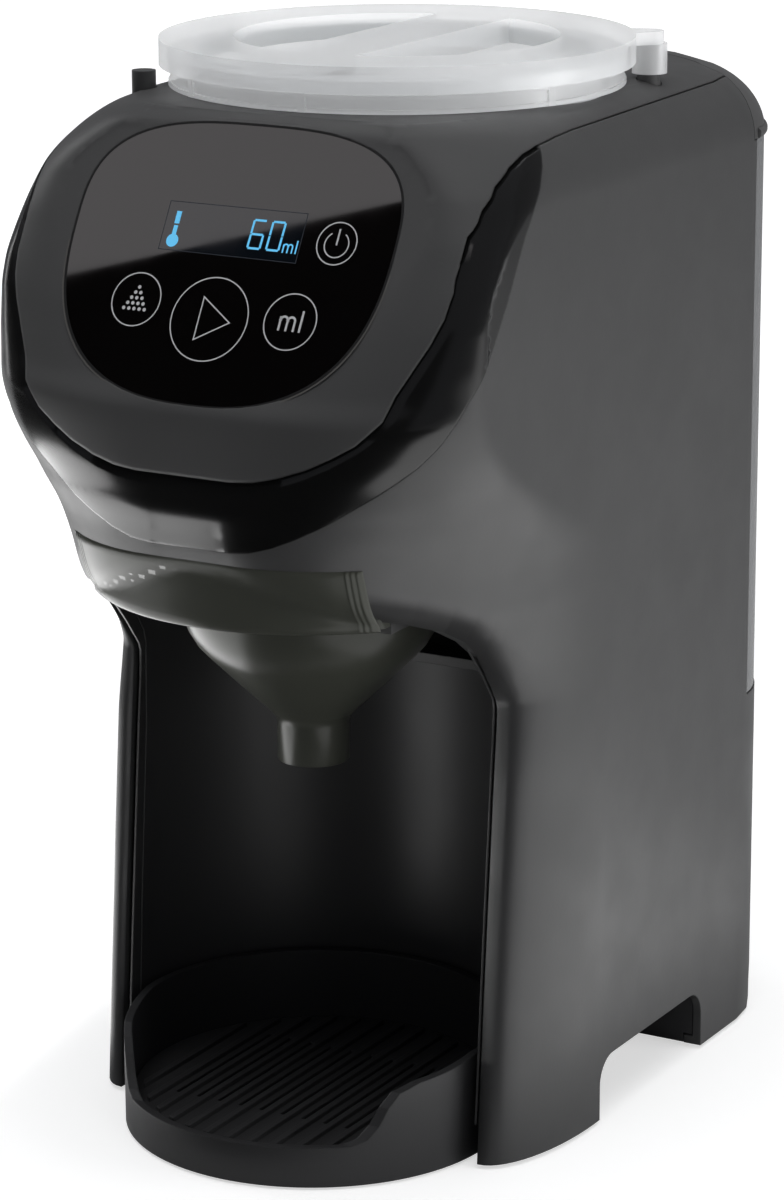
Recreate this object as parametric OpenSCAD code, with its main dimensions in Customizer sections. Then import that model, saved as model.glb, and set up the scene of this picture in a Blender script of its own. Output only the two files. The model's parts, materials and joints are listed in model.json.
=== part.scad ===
/* [Body] */
// Width across the two side walls
body_w = 150; // [146:1:156]
// How far the front of the head stands before the centre
head_reach = 117; // [114:1:120]
// How far the back face stands behind the centre
back_reach = 117; // [114:1:120]
// Radius of the two upright back corners
corner_r = 40; // [34:1:44]
// Thickness of the moulded walls
wall = 2.6; // [2:0.2:3.4]
// Height at which the side walls start to round over
shoulder_z = 272; // [268:1:276]
// How far the shoulder runs in
shoulder_in = 20; // [16:1:24]
// Height of the flat deck that the powder lid stands on
deck_z = 294; // [292:1:297]
// Height of the underside above the table
ground_gap = 1.2; // [0.8:0.2:2]

/* [Side arches] */
// Front end of each side arch
arch_front = -17; // [-20:1:-12]
// Back end of each side arch
arch_back = 50; // [44:1:54]
// Height of each side arch
arch_h = 19.5; // [16:0.5:24]
// Corner radius of each side arch
arch_r = 8; // [5:1:9]

/* [Bottle bay] */
// Radius of the bay in the housing
bay_r = 57.5; // [56:0.5:59]
// Centre line of the bay, spout and tray
bay_y = -50; // [-54:1:-46]
// Height of the bay ceiling
bay_top = 182; // [180:1:185]
// Thickness of the bay liner
liner_t = 2; // [1.6:0.2:2.6]

/* [Control panel] */
// Lean of the control panel from upright
panel_tilt = 29.65; // [26:0.5:33]
// Height of the start key on the panel
panel_z = 243.6; // [240:1:248]
// Reach of the start key before the centre
panel_reach = 101.3; // [99:0.5:104]
// Half width of the control glass
glass_half_w = 49.5; // [46:0.5:52]
// Height of the glass above its widest line
glass_up = 31; // [27:1:34]
// Depth of the glass below its widest line
glass_down = 48; // [44:1:51]
// Widest line of the glass above the start key
glass_mid = 24.2; // [22:0.2:27]
// Thickness of the control glass
glass_t = 2; // [1.5:0.25:3]

/* [Powder container] */
// Distance of the container axis behind the centre line
pot_y = -0.5; // [-1:0.5:1]
// Radius of the container below the deck
pot_r = 60; // [57:0.5:61]
// Radius of the container collar above the deck
collar_r = 64.4; // [63:0.2:65]
// Height of the container floor
pot_floor_z = 206; // [204:1:209]
// Height of the collar top
collar_top = 303; // [301:1:305]
// Thickness of the container wall
pot_wall = 2.4; // [1.8:0.2:3]
// Radius of the lid flange
lid_r = 67; // [66:0.5:68]
// Height of the lid flange top
lid_top = 307.4; // [306:0.2:310]
// Width of the grip bar across the lid
grip_w = 24; // [18:1:28]
// Radius of the post that the lid locks over
post_r = 3.4; // [3:0.2:4]
// Number of pockets in the dosing wheel
pocket_count = 8; // [6:1:10]
// Radius of each pocket
pocket_r = 6.5; // [5:0.5:7]

/* [Drive] */
// Tooth module of the gears
gear_module = 1.25; // [1.1:0.05:1.4]
// Teeth on the drive gear
gear_teeth = 48; // [44:1:52]
// Teeth on the motor pinion
pinion_teeth = 12; // [12:1:14]
// Width of the gear teeth
gear_w = 6; // [4:0.5:7]

/* [Water tank] */
// Depth of the tank behind the centre of the container
tank_depth = 18.9; // [17:0.1:20]
// Height of the tank floor above the table
tank_z = 104; // [100:1:108]
// Thickness of the tank wall
tank_wall = 2.2; // [1.8:0.2:3]
// Line on the side walls where the tank shows
tank_seam_y = 79; // [75:1:83]

/* [Funnel] */
// Radius of the drawer front about the bay axis
drawer_r = 61.5; // [60:0.5:64]
// Height of the drawer front's lower edge
drawer_z = 162; // [158:1:164]
// Height of the drawer front's top edge
drawer_top = 179; // [176:1:180]
// Radius of the funnel bowl
funnel_r = 38; // [34:1:42]
// Radius of the funnel spout
spout_r = 11.8; // [9:0.2:13]
// Height of the spout outlet
spout_z = 108.5; // [104:0.5:114]
// Height where the cone starts
cone_z = 122; // [118:1:126]
// Thickness of the funnel wall
funnel_wall = 1.8; // [1.4:0.2:2.4]

/* [Drip tray] */
// Outer radius of the tray
tray_r = 55.4; // [53:0.2:56]
// Height of the low front lip
tray_lip_z = 12.5; // [10:0.5:16]
// Height of the side walls
tray_side_z = 31; // [26:1:34]
// Thickness of the tray wall
tray_wall = 2.4; // [1.8:0.2:3]
// Spacing of the ribs on the tray cover
rib_pitch = 7; // [6:0.5:9]

/* [Hidden] */
$fn = 72;
// Clearance between neighbouring pieces, and running clearance of a pin
gap = 0.3;
run = 0.06;
eps = 0.01;
half_w = body_w / 2;
ring_bulge = 0.7;
front_y = -(head_reach - ring_bulge);
back_y = back_reach - 1.5;
crown = deck_z - shoulder_z;
// Lean of the control panel as a run back for each step up
lean = tan(panel_tilt);
foot_z = ground_gap;
tank_front_r = back_y - tank_depth;
bulkhead_r = tank_front_r - 1.2;
shelf_z = tank_z;
cradle_top = shoulder_z + 11;
tank_floor = tank_z + gap;
tank_top = shoulder_z;
// Line across the shoulders where the tank lid starts
lid_line = tank_seam_y - 2;
lip_w = 3;
base_t = 2.2;
screw_r = 1.5;
liner_r = bay_r + liner_t - gap;
liner_z = foot_z + 0.4;
floor_r = 47;
tongue_w = 36;
plate_z = drawer_z;
plate_t = 2.2;
rail_top = plate_z - gap;
rail_x = 44;
plate_x = rail_x - gap;
tunnel_x = rail_x + 2 + 0.5;
boss_x = half_w - 21;
pump_x = half_w - 41;
flange_z = plate_z + plate_t + eps;
bowl_z = cone_z + funnel_r - spout_r;
chute_r = 13;
outlet_r = 8;
nozzle_r = 4;
chassis_z = bay_top + liner_t + gap;
chassis_t = 3;
chassis_top = chassis_z + chassis_t;
nozzle_top = chassis_top + 5;
gear_z = chassis_top + 2.4;
gear_gap = gear_module * (gear_teeth + pinion_teeth) / 2 + 0.1;
axle_r = 3;
dog_r = 5;
dog_top = pot_floor_z - 1;
hub_r = 9;
wheel_z = pot_floor_z + pot_wall + 0.4;
wheel_top = wheel_z + 8;
wheel_r = pot_r - pot_wall - 0.4;
lid_under = collar_top + gap;
well_z = lid_top - 7;
well_r = 46;
seal_t = 2;
window_w = 46;
window_h = 15;
window_s = 25;
display_t = 3;
board_back = glass_t + gap + display_t + gap;
board_x = half_w - 13;
dock_r = 6.8;
dock_y = back_y - 10;
valve_r = 4;
tray_foot = 0.8;
tray_floor = liner_z + liner_t + 0.4;
cover_z = 8;
// Side view above the rim of the tray
TRAY_LINE = [[-140, tray_lip_z], [-92, tray_lip_z], [-89, 14], [-86.5, 17.5], [-84.3, 22.5], [-81.5, 26.4], [-76, 28.4],
    [-66, 29.4], [-54, tray_side_z], [10, tray_side_z], [10, 90], [-140, 90]];

// Stations of the nose of the shell: height, half width of the flat front, start of the
// corner, and front. The corner between them is a quarter of an ellipse.
NOSE = [
    [foot_z, 60, -20, -62.5],
    [60, 60, -17, -57.5],
    [110, 60, -13.5, -53],
    [132, 58, -10, -51.2],
    [140, 52.7, -8.4, -58],
    [148, 45.9, -7, -69.1],
    [156, 37.8, -6.4, -83],
    [164, 30, -8, -97.6],
    [172, 20.6, -14, -107.2],
    [180, 13.3, -26, -112.4],
    [188, 10.3, -41, -114.6],
    [196, 10.6, -56, front_y],
    [204, 14.5, -69.4, front_y],
    [212, 18.4, -78.9, front_y + 0.6],
    [220, 22, -83.7, panel_y(220) + 0.1],
    [228, 26, -85.6, panel_y(228)],
    [236, 33, -86.4, panel_y(236)],
    [244, 41, -86.4, panel_y(244)],
    [252, 48, -84.4, panel_y(252)],
    [260, 54, -78.5, panel_y(260)],
    [268, 58, -69, panel_y(268)],
    [276, 57.3, -56, panel_y(276)],
    [282, 53.1, -45.3, panel_y(282)],
    [288, 45.4, -34, panel_y(288)],
    [291, 40.3, -27.5, panel_y(291)],
    [deck_z, 35, -21, panel_y(291) + 6]
];
// The seam around the fascia and deck, seen from the side
SEAM = [
    [-140, 155.5], [-90, 256.7], [-87, 262.3], [-83, 268.2], [-77, 274.5], [-70, 279.6], [-62, 283.4], [-54, 285.8],
    [-46, 287.2], [-36, 288], [-26, 288.4], [130, 290.4]
];
// The groove behind the gloss ring, seen from the side
GROOVE = [
    [-140, 130.2], [-96.7, 220.4], [-92.6, 227.4], [-88, 233.6], [-80.8, 242.8], [-75, 250.8], [-70.2, 258.7],
    [-65.3, 266.5], [-59.5, 274], [-53, 280.5], [-45, 287.6]
];
// The lower edge of the cheeks, seen from the side
CHEEK = [
    [-62, 149.3], [-68.5, 154.8], [-76, 159.3], [-86, 163.2], [-97, 166],
    [-140, 171.5]
];
// Heights that the outside and the inside of the shell are drawn through
LEVELS = concat([foot_z, 60, 110, 126], [for (z = [132:6.5:shoulder_z - 4]) z],
    [for (t = [0:15:90]) shoulder_z + crown * sin(t)]);
INNER = concat([60, 110, 126], [for (z = [132:14:shoulder_z - 4]) z],
    [for (t = [0:30:90]) shoulder_z + (crown - wall) * sin(t)]);

function panel_y(z) = -panel_reach + (z - panel_z) * lean;
// Smooth curve through column k of the stations, which doesn't overshoot between them
function rise(i, k) = (NOSE[i + 1][k] - NOSE[i][k]) / (NOSE[i + 1][0] - NOSE[i][0]);
function slope(i, k) = i == 0 ? rise(0, k) : i == len(NOSE) - 1 ? rise(i - 1, k) :
    let(a = rise(i - 1, k), b = rise(i, k)) a * b <= 0 ? 0 : 2 * a * b / (a + b);
function station(z, k) =
    let(i = max([0, each [for (n = [0:len(NOSE) - 2]) if (NOSE[n][0] <= z) n]]))
    let(h = NOSE[i + 1][0] - NOSE[i][0], t = min(1, max(0, (z - NOSE[i][0]) / h)))
    (1 + 2 * t) * pow(1 - t, 2) * NOSE[i][k] + t * pow(1 - t, 2) * h * slope(i, k)
    + t * t * (3 - 2 * t) * NOSE[i + 1][k] - t * t * (1 - t) * h * slope(i + 1, k);
// Distance that the shell has come in at height z above the shoulder line
function come_in(z) = z <= shoulder_z ? 0 : shoulder_in * (1 - sqrt(max(0, 1 - pow((z - shoulder_z) / crown, 2))));

// Right half of the shell's outline at height z, moved in by d, from front to back
function half_outline(z, d) =
    let(a = half_w - come_in(z) - d, xc = station(z, 1) * half_w / 75, y0 = station(z, 2), yf = station(z, 3) + d)
    let(r = corner_r - d, rear = back_y - come_in(z) - d)
    concat(
        [for (i = [0:nose_steps(d)]) let(t = 90 * (1 - i / nose_steps(d)))
            [xc + (a - xc) * cos(t), y0 - (y0 - yf) * sin(t)]],
        [for (i = [0:back_steps]) let(t = 90 * i / back_steps) [a - r + r * cos(t), rear - r + r * sin(t)]]
    );
// Front of the surface moved in by d, at half width x and height z
function skin_y(x, z, d) =
    let(xc = station(z, 1) * half_w / 75, c = min(1, (x - xc) / (half_w - come_in(z) - d - xc)))
    station(z, 2) - (station(z, 2) - station(z, 3) - d) * sqrt(1 - c * c);
function outline(z, d) =
    let(h = half_outline(z, d), n = len(h))
    concat(h, [for (i = [n - 1:-1:0]) [-h[i][0], h[i][1]]]);
// Steps around the nose, fewer for surfaces inside the wall
function nose_steps(d) = d > 1.5 ? 7 : 14;
back_steps = 6;

// Heights between z0 and z1, with both of them
function inside_of(z0, z1) = concat([z0], [for (z = INNER) if (z > z0 + 0.5 && z < z1 - 0.5) z], [z1]);
function outside_of(z0, z1) = concat([z0], [for (z = LEVELS) if (z > z0 + 0.5 && z < z1 - 0.5) z], [z1]);

// Solid through the outlines at the given heights
module loft(zs, d) {
    rings = [for (z = zs) [for (p = outline(z, d)) [p[0], p[1], z]]];
    n = len(rings[0]);
    m = len(rings);
    polyhedron(
        points = [for (ring = rings) for (p = ring) p],
        faces = concat(
            [[for (i = [0:n - 1]) i]],
            [for (k = [0:m - 2], i = [0:n - 1]) let(j = (i + 1) % n) [k * n + i, (k + 1) * n + i, (k + 1) * n + j]],
            [for (k = [0:m - 2], i = [0:n - 1]) let(j = (i + 1) % n) [k * n + i, (k + 1) * n + j, k * n + j]],
            [[for (i = [n - 1:-1:0]) (m - 1) * n + i]]
        )
    );
}

// Side view polygon, with points [y, z], run across the whole width
module across(pts, x0 = -90, x1 = 90)
    translate([x0, 0, 0]) rotate([90, 0, 90]) linear_extrude(x1 - x0) polygon(pts);

module above_seam(d = 0) across(concat([for (p = SEAM) [p[0] - d * 0.7, p[1] + d]], [[130, 320], [-140, 320]]));
module below_seam(d = 0) across(concat([for (p = SEAM) [p[0] + d * 0.7, p[1] - d]], [[130, -5], [-140, -5]]));
module before_groove(d = 0) across(concat([for (p = GROOVE) [p[0] - d, p[1]]], [[-140, GROOVE[len(GROOVE) - 1][1]]]));

module pot_axis() translate([0, pot_y, 0]) children();
module bay_axis() translate([0, bay_y, 0]) children();
module mirrored() {
    children();
    mirror([1, 0, 0]) children();
}
module tube(r, t, h) difference() {
    cylinder(r = r, h = h);
    translate([0, 0, -1]) cylinder(r = r - t, h = h + 2);
}
module box(x0, x1, y0, y1, z0, z1) translate([x0, y0, z0]) cube([x1 - x0, y1 - y0, z1 - z0]);

// Frame on the panel: x across, y up the panel, z out of it, start key at the origin
module on_panel() translate([0, -panel_reach, panel_z]) rotate([90 - panel_tilt, 0, 0]) children();
function power_of(v, e) = (v < 0 ? -1 : 1) * pow(abs(v), e);
module glass_shape(g) polygon([for (t = [0:6:354])
    let(up = t < 180, e = up ? 2 / 3 : 1)
    [(glass_half_w + g) * power_of(cos(t), e), glass_mid + ((up ? glass_up : glass_down) + g) * power_of(sin(t), e)]]);

// Plan of the bay, of radius r, open to the front
module bay_plan(r) {
    bay_axis() circle(r);
    translate([-r, -140]) square([2 * r, 140 + bay_y]);
}
// Space that the bay takes out of the shell
module bay_room(r) intersection() {
    translate([0, 0, -5]) linear_extrude(220) bay_plan(r);
    across(concat([[20, -5], [20, bay_top + 4], [CHEEK[0][0], bay_top + 4]], CHEEK, [[-140, -5]]));
}
// Front view of the drawer's mouth, with slanted ends, d wider than the drawer front
module mouth_view(d, z0, z1) polygon([for (s = [-1, 1]) each let(e = s < 0 ? [z0, z1] : [z1, z0])
    [for (z = e) [s * (mouth_x + d + (drawer_top - z) * mouth_slant), z]]]);
mouth_x = 36;
mouth_slant = 0.72;
// Space that the funnel drawer takes out of the shell
module drawer_room() {
    intersection() {
        rotate([90, 0, 0]) linear_extrude(140) mouth_view(gap + 0.2, 150, drawer_top + 0.6);
        box(-tunnel_x, tunnel_x, -140, bay_y, 100, 200);
    }
    intersection() {
        box(-tunnel_x, tunnel_x, -140, bay_y + 1, 100, bay_top + 4);
        bay_axis() cylinder(r = drawer_r - 3.4, h = 300);
    }
}
module arch_cut() translate([-90, 0, 0]) rotate([90, 0, 90]) linear_extrude(180) {
    translate([arch_front, -5]) square([arch_back - arch_front, arch_h - arch_r + 5]);
    translate([arch_front + arch_r, -5]) square([arch_back - arch_front - 2 * arch_r, arch_h + 5]);
    for (y = [arch_front + arch_r, arch_back - arch_r]) translate([y, arch_h - arch_r]) circle(arch_r);
}
// Everything farther than r from the container axis, behind y0 and above z0
module behind_pot(r, y0, z0, z1 = 330) difference() {
    box(-100, 100, y0, 140, z0, z1);
    translate([0, 0, z0 - 1]) pot_axis() cylinder(r = r, h = z1 - z0 + 2);
}
// Room that the tank and its lid take out of the shell
module tank_room() {
    difference() {
        behind_pot(bulkhead_r, lid_line, shelf_z, tank_top + eps);
        mirrored() box(half_w - wall, half_w + 9, -9, tank_seam_y, 0, 330);
    }
    behind_pot(bulkhead_r, lid_line, tank_top);
}
// Plan of the back of the shell, moved in by d
module back_plan(d) {
    translate([d - half_w, -60]) square([body_w - 2 * d, back_y - corner_r + 60]);
    translate([corner_r - half_w, -60]) square([body_w - 2 * corner_r, back_y - d + 60]);
    for (s = [-1, 1]) translate([s * (half_w - corner_r), back_y - corner_r]) circle(corner_r - d);
}

module main_housing() color("#3b3d40") difference() {
    union() {
        difference() {
            loft(LEVELS, 0);
            loft(inside_of(foot_z + wall, deck_z - wall), wall);
        }
        intersection() {
            loft(outside_of(foot_z, deck_z), wall / 2);
            housing_ribs();
        }
    }
    above_seam();
    before_groove(-gap);
    bay_room(bay_r + liner_t);
    drawer_room();
    arch_cut();
    tank_room();
    inlet_place() inlet_block(gap, 30);
    screw_places() translate([0, 0, -9]) cylinder(r = screw_r + 0.08, h = 22);
    // Mouth for the base plate
    translate([0, 0, -1]) linear_extrude(foot_z + wall + 1.5) intersection() {
        back_plan(wall + lip_w);
        translate([-90, arch_back]) square([180, 90]);
    }
}
// Walls and bosses inside the housing
module housing_ribs() {
    mirrored() {
        // Back of the leg
        box(bay_r + liner_t, half_w, arch_front - wall, arch_front, foot_z, arch_h + wall);
        // Bosses for the screws and the main board
        for (p = [[36, arch_h + 2.8], [84, foot_z + 2.5]]) difference() {
            union() {
                translate([boss_x, p[0], p[1]]) cylinder(r = 3.6, h = 14);
                box(boss_x, half_w, p[0] - 1, p[0] + 1, p[1], p[1] + 14);
            }
            translate([boss_x, p[0], p[1] - 1]) cylinder(r = screw_r + 0.08, h = 16);
        }
    }
    for (y = [24, 58], z = [66, 144]) translate([board_x + 1.9, y, z]) rotate([0, 90, 0]) cylinder(r = 3, h = 12);
}

// Inner moulding with the wall before the tank and the shelf under it
module tank_cradle() color("#2f3133") intersection() {
    loft(inside_of(shelf_z - wall, cradle_top), wall + gap + 0.1);
    difference() {
        union() {
            difference() {
                pot_axis() translate([0, 0, shelf_z - wall]) tube(bulkhead_r, wall, cradle_top - shelf_z + wall);
                box(-100, 100, -140, lid_line - wall, 0, 300);
            }
            behind_pot(bulkhead_r - wall, lid_line - wall, shelf_z - wall, shelf_z);
            mirrored() difference() {
                box(50, half_w, lid_line - wall, lid_line, shelf_z - wall, cradle_top);
                pot_axis() cylinder(r = bulkhead_r - wall / 2, h = 300);
            }
        }
        dock_place() translate([0, 0, shelf_z - wall - 1]) cylinder(r = dock_r + gap, h = 9);
    }
}

module front_fascia() color("#46484b") difference() {
    union() {
        difference() {
            intersection() {
                loft(LEVELS, 0);
                above_seam(gap);
            }
            loft(inside_of(180, deck_z - wall), wall);
        }
        // Ledge behind the glass
        on_panel() translate([0, 0, -glass_t - gap - 1.6]) linear_extrude(2.4) glass_shape(2);
    }
    on_panel() translate([0, 0, -glass_t - gap]) linear_extrude(20) glass_shape(gap);
    on_panel() display_block(-20, gap, 60);
    translate([0, 0, pot_floor_z]) pot_axis() cylinder(r = pot_r + 1, h = 100);
    behind_pot(tank_front_r - 0.6, lid_line, 250);
    for (a = [0, 1]) post_place(a) cylinder(r = post_r + gap, h = 30, center = true);
}

module trim_ring() color("#101113") difference() {
    intersection() {
        loft(outside_of(172, 289), -ring_bulge);
        below_seam(gap);
        before_groove(gap);
    }
    loft(inside_of(170, 290), wall);
}

module control_glass() color("#0b0b0c") on_panel() translate([0, 0, -glass_t]) linear_extrude(glass_t)
    glass_shape(0);

module display_block(z0, d, h)
    translate([-window_w / 2 - d, window_s - window_h / 2 - d, z0]) cube([window_w + 2 * d, window_h + 2 * d, h]);
module display_module() color("#1a2f3d") on_panel() display_block(-glass_t - gap - display_t, 0, display_t);

module control_board() color("#1d5b34") on_panel() difference() {
    union() {
        translate([-38, -14, -board_back - 1.6]) cube([76, 52, 1.6]);
        // Touch pads, then chips on the back
        for (p = [[0, 0, 10], [-24.3, 3.3, 7], [24.3, 1.7, 7], [32, 24.1, 5.6]])
            translate([p[0], p[1], -board_back - eps]) cylinder(r = p[2], h = 0.8);
        translate([-12, -10, -board_back - 3.2]) cube([12, 12, 1.7]);
        translate([10, 12, -board_back - 4.2]) cube([16, 8, 2.7]);
    }
    for (x = [-34, 34], y = [-10, 34]) translate([x, y, -20]) cylinder(r = 1.4, h = 20);
}

module bay_liner() color("#17181a") difference() {
    union() {
        intersection() {
            translate([0, 0, liner_z]) linear_extrude(bay_top + liner_t - liner_z) difference() {
                bay_plan(liner_r);
                bay_plan(liner_r - liner_t);
            }
            across(concat([[20, 0], [20, 190], [skin_y(liner_r, bay_top, wall) + 2.6, 190]],
                [for (z = [bay_top:-4:138]) [skin_y(liner_r, z, wall) + 2.6, z]],
                [[-48, 134], [-48.5, 110], [-52.5, 60], [-56, 0]]));
        }
        // Ceiling
        translate([0, 0, bay_top]) linear_extrude(liner_t) intersection() {
            bay_plan(liner_r - eps);
            polygon(outline(bay_top - 2, wall + gap + 0.5));
        }
        // Floor under the tray and the tongue that joins it to the back
        bay_axis() translate([0, 0, liner_z]) cylinder(r = floor_r, h = liner_t);
        box(-tongue_w / 2, tongue_w / 2, bay_y, bay_y + liner_r - 0.6, liner_z, liner_z + liner_t);
        // Rails for the funnel drawer
        mirrored() {
            box(rail_x, rail_x + 2, bay_y - 36, -12, rail_top - 2, bay_top + eps);
            box(rail_x - 4, rail_x + 1, bay_y - 36, -12, rail_top - 2, rail_top);
        }
        // Two steps across the back of the bay
        intersection() {
            translate([0, 0, 100]) linear_extrude(60) bay_plan(liner_r - 0.6);
            for (z = [126, 140]) box(-60, 60, -4, 20, z, z + 3);
        }
    }
    bay_axis() translate([0, 0, bay_top - 1]) cylinder(r = chute_r + gap, h = 9);
    nozzle_place() translate([0, 0, bay_top - 1]) cylinder(r = nozzle_r + gap, h = 9);
}

module base_plate() color("#2a2b2d") difference() {
    union() {
        translate([0, 0, foot_z]) linear_extrude(base_t) intersection() {
            back_plan(wall + lip_w + gap);
            translate([-90, arch_back + gap]) square([180, 90]);
        }
        for (b = [[wall + lip_w + gap, foot_z], [wall + gap, foot_z + wall + gap]])
            box(b[0] - half_w, half_w - b[0], arch_back + gap, arch_back + gap + base_t, b[1], arch_h + 2.5);
        difference() {
            box(gap + wall - half_w, half_w - wall - gap, arch_front + gap, arch_back + 1, arch_h + gap, arch_h + 2.5);
            linear_extrude(60) bay_plan(bay_r + liner_t + gap);
        }
    }
    for (x = [-44:8:44]) box(x - 1.5, x + 1.5, 22, 42, arch_h - 1, arch_h + 9);
    screw_places() translate([0, 0, -9]) cylinder(r = screw_r + 0.3, h = 40);
}
module screw_places() for (x = [-boss_x, boss_x]) {
    translate([x, 36, arch_h + gap]) children();
    translate([x, 84, foot_z]) children();
}
module base_screws() color("silver") screw_places() {
    translate([0, 0, -1]) cylinder(r = 3, h = 1 - eps);
    translate([0, 0, -1]) cylinder(r = screw_r, h = 12);
}
module rubber_feet() color("#141414") mirrored()
    for (p = [[half_w - 10, -44], [half_w - 17, 62], [34, back_reach - 15]]) translate([p[0], p[1], 0]) cylinder(r = 4, h = foot_z - eps);

module dock_place() translate([0, dock_y, 0]) children();
module water_dock() color("#2a2b2d") dock_place() difference() {
    union() {
        translate([0, 0, shelf_z - 16]) cylinder(r = 4.6, h = 8);
        translate([0, 0, shelf_z - 9]) cylinder(r = dock_r, h = 9 - gap);
    }
    translate([0, 0, shelf_z - 20]) cylinder(r = 2.2, h = 30);
    translate([0, 0, shelf_z - 7]) cylinder(r = valve_r + gap, h = 9);
    translate([0, 0, shelf_z - 3]) cylinder(r = dock_r - 0.9, h = 9);
}
module dock_seal() color("#101010") dock_place() translate([0, 0, shelf_z - 3 + eps])
    tube(dock_r - 1, dock_r - 1 - valve_r - 0.1, 2.6);
module tank_valve() color("#d9dcdd") dock_place() difference() {
    union() {
        translate([0, 0, shelf_z - 6]) cylinder(r = valve_r, h = 9.3);
        translate([0, 0, tank_floor + tank_wall + eps]) cylinder(r = valve_r + 2, h = 1.6);
    }
    translate([0, 0, shelf_z - 7]) cylinder(r = 1.8, h = 20);
}

module water_pump() color("#6d7075") translate([pump_x, 42, arch_h + 2.5 + eps]) {
    cylinder(r = 14, h = 24);
    translate([0, 0, 24 - eps]) cylinder(r = 11, h = 12);
    translate([0, 0, 36 - 2 * eps]) cylinder(r = 4, h = 4);
}
module water_heater() color("silver") translate([-pump_x, 42, arch_h + 2.5 + eps]) {
    cylinder(r = 17, h = 8);
    translate([0, 0, 8 - eps]) cylinder(r = 15, h = 66);
    translate([0, 0, 74 - 2 * eps]) cylinder(r = 17, h = 6);
    translate([0, 0, 80 - 3 * eps]) cylinder(r = 4, h = 8);
}

// Round hose of radius r through the points given
module hose(pts, r) {
    for (i = [0:len(pts) - 2]) {
        v = pts[i + 1] - pts[i];
        translate(pts[i]) rotate([0, acos(v[2] / norm(v)), atan2(v[1], v[0])]) cylinder(r = r, h = norm(v));
    }
    if (len(pts) > 2) for (i = [1:len(pts) - 2]) translate(pts[i]) cube(2 * r + 0.8, center = true);
}
pump_top = arch_h + 2.5 + 40;
heater_top = arch_h + 2.5 + 88;
module inlet_hose() color("#c8ccce")
    hose([[0, dock_y, shelf_z - 16.1], [0, dock_y, 76], [pump_x, dock_y, 76], [pump_x, 42, 76],
        [pump_x, 42, pump_top + 0.1]], 3);
module heater_hose() color("#c8ccce") hose([[pump_x - 14.2, 42, 29], [17.2 - pump_x, 42, 29]], 3);
module nozzle_hose() color("#c8ccce") hose([
    [-pump_x, 42, heater_top + 0.1], [-pump_x, 42, 199.5], [-52, 42, 199.5], [-52, -70, 199.5], [24, -70, 199.5],
    [24, -70, nozzle_top + 0.1]
], 3);
module nozzle_place() translate([24, -70, 0]) children();
module water_nozzle() color("#d9dcdd") nozzle_place() difference() {
    union() {
        translate([0, 0, bay_top - 4]) cylinder(r = nozzle_r, h = nozzle_top - bay_top + 4);
        translate([0, 0, chassis_top + eps]) cylinder(r = nozzle_r + 3, h = 2);
    }
    translate([0, 0, bay_top - 5]) cylinder(r = 2.4, h = 30);
}
module powder_chute() color("#d9dcdd") bay_axis() difference() {
    union() {
        translate([0, 0, bay_top - 2]) cylinder(r = chute_r, h = pot_floor_z - gap - bay_top + 2);
        translate([0, 0, chassis_top + eps]) cylinder(r = chute_r + 3, h = 2);
    }
    translate([0, 0, bay_top - 3]) cylinder(r = chute_r - 1.6, h = 40);
}

module chassis_plate() color("#4c4f52") difference() {
    union() {
        translate([0, 0, chassis_z]) linear_extrude(chassis_t) intersection() {
            polygon(outline(bay_top + 3, wall + gap + 0.5));
            pot_axis() circle(bulkhead_r - wall - gap);
        }
        // Bearing boss and axle of the drive gear
        pot_axis() translate([0, 0, chassis_top - eps]) cylinder(r = 6, h = gear_z - gap - chassis_top);
        pot_axis() translate([0, 0, chassis_top - eps]) cylinder(r = axle_r, h = gear_z + gear_w - chassis_top);
    }
    bay_axis() translate([0, 0, chassis_z - 1]) cylinder(r = chute_r + gap, h = 9);
    nozzle_place() translate([0, 0, chassis_z - 1]) cylinder(r = nozzle_r + gap, h = 9);
    motor_axis() translate([0, 0, chassis_z - 1]) cylinder(r = 5, h = 9);
    translate([-pump_x, 42, chassis_z - 1]) cylinder(r = 4, h = 9);
}
module motor_axis() translate([0, pot_y + gear_gap, 0]) children();
module gear_motor() color("#7b7f84") motor_axis() {
    translate([0, 0, chassis_z - 44]) cylinder(r = 18.5, h = 44 - eps);
    translate([0, 0, chassis_z - eps]) cylinder(r = axle_r, h = gear_z + gear_w - chassis_z);
    translate([0, 0, chassis_z - 50]) cylinder(r = 6, h = 7);
}
// Outline of a spur gear with n teeth
function involute(a) = tan(a) * 180 / PI - a;
function flank(n, r) = let(rp = gear_module * n / 2, c = min(1, rp * cos(20) / r))
    90 / n - 1.2 * 6 / n + involute(20) - involute(acos(c));
function gear_outline(n) = let(rp = gear_module * n / 2, rs = [rp - 1.25 * gear_module, rp - 0.5 * gear_module,
    rp, rp + 0.45 * gear_module, rp + 0.85 * gear_module])
    [for (k = [0:n - 1]) each concat(
        [for (r = rs) let(a = 360 * k / n - flank(n, r)) [r * cos(a), r * sin(a)]],
        [for (i = [4:-1:0]) let(r = rs[i], a = 360 * k / n + flank(n, r)) [r * cos(a), r * sin(a)]]
    )];
module motor_pinion() color("#c9a64a") motor_axis() translate([0, 0, gear_z]) rotate([0, 0, 180 / pinion_teeth]) difference() {
    linear_extrude(gear_w) polygon(gear_outline(pinion_teeth));
    translate([0, 0, -1]) cylinder(r = axle_r + run, h = 20);
}
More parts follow.
